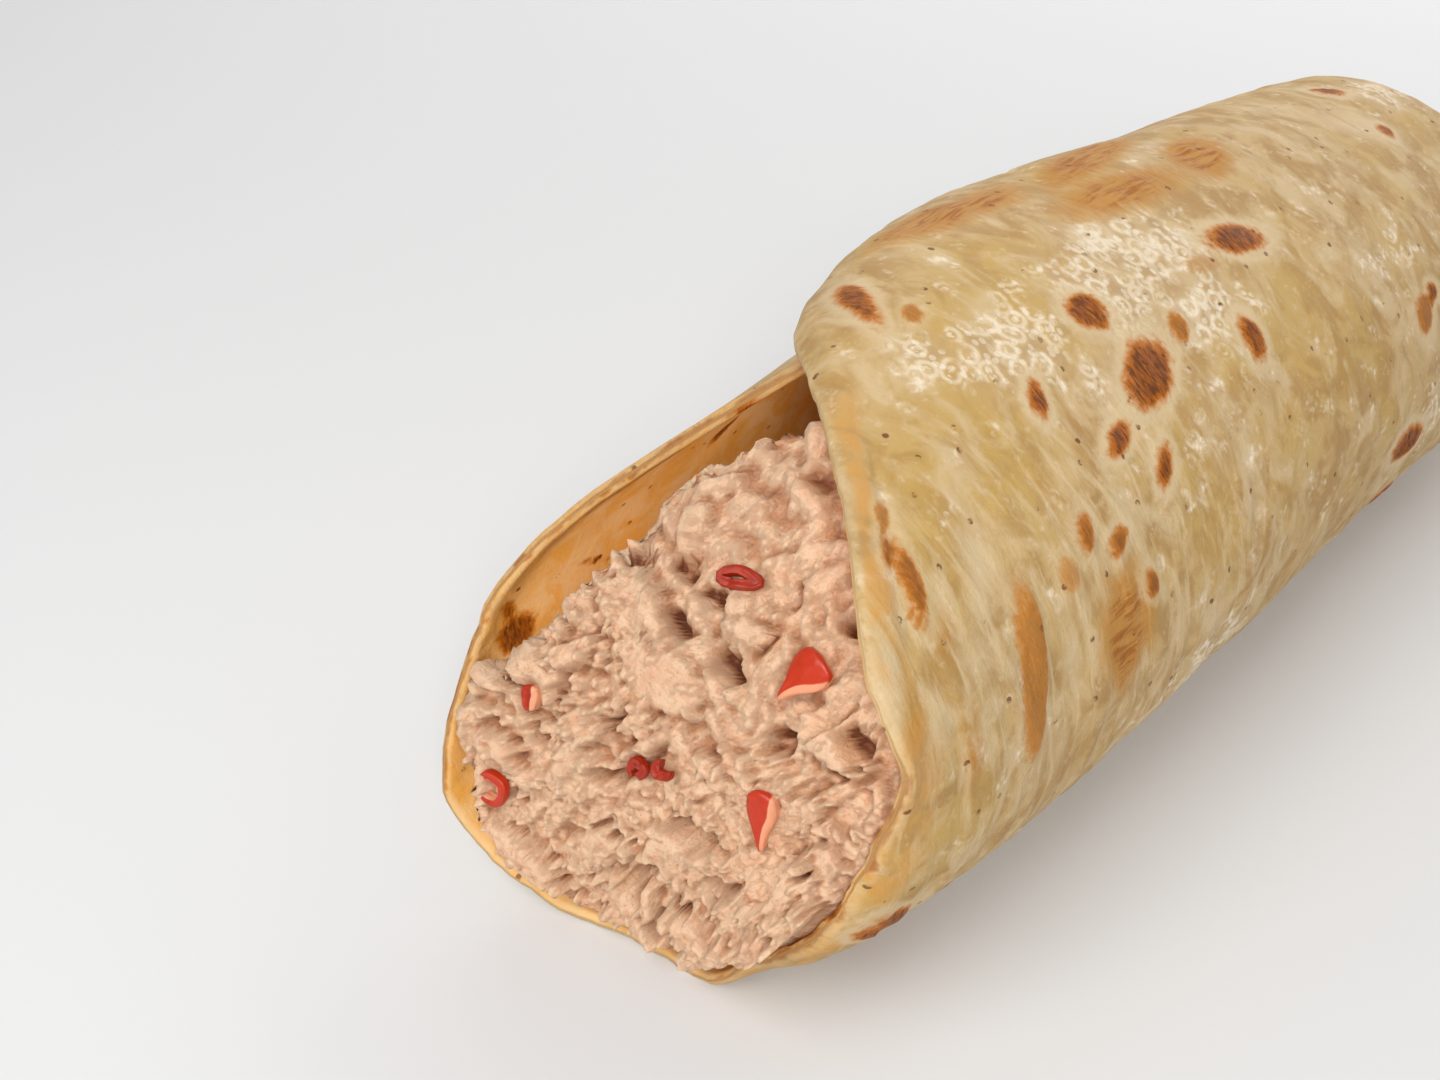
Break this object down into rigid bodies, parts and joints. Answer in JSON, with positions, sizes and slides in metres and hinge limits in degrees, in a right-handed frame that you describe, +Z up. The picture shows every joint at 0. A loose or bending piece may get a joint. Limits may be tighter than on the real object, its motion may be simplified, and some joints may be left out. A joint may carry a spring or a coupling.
{
  "type": "tuna chapati wrap",
  "caption": "Thin flatbread rolled round a craggy tuna filling with pieces of red pepper, lying on its side with one slanted open end",
  "frame": {"origin": "on the floor under the middle of the wrap's bounding box", "axes": "+Z up; the roll runs along Y, with the open end that shows most filling towards -Y; +X is the wrap's side where the outer flap comes up from"},
  "size_m": [0.0634, 0.181, 0.0606],
  "materials": {
    "chapati": "griddled flatbread, pale and floury with brown scorched spots",
    "tuna": "moist flaked tuna in a thin creamy dressing",
    "pepper": "glossy wet red pepper skin over paler flesh"
  },
  "bodies": {
    "root": {"chapati": "chapati", "tuna_filling": "tuna", "pepper_front_1": "pepper", "pepper_front_2": "pepper", "pepper_front_3": "pepper", "pepper_front_4": "pepper", "pepper_front_5": "pepper", "pepper_front_6": "pepper", "pepper_front_7": "pepper", "pepper_back_1": "pepper", "pepper_back_2": "pepper", "pepper_back_3": "pepper", "pepper_back_4": "pepper"}
  },
  "joints": []
}
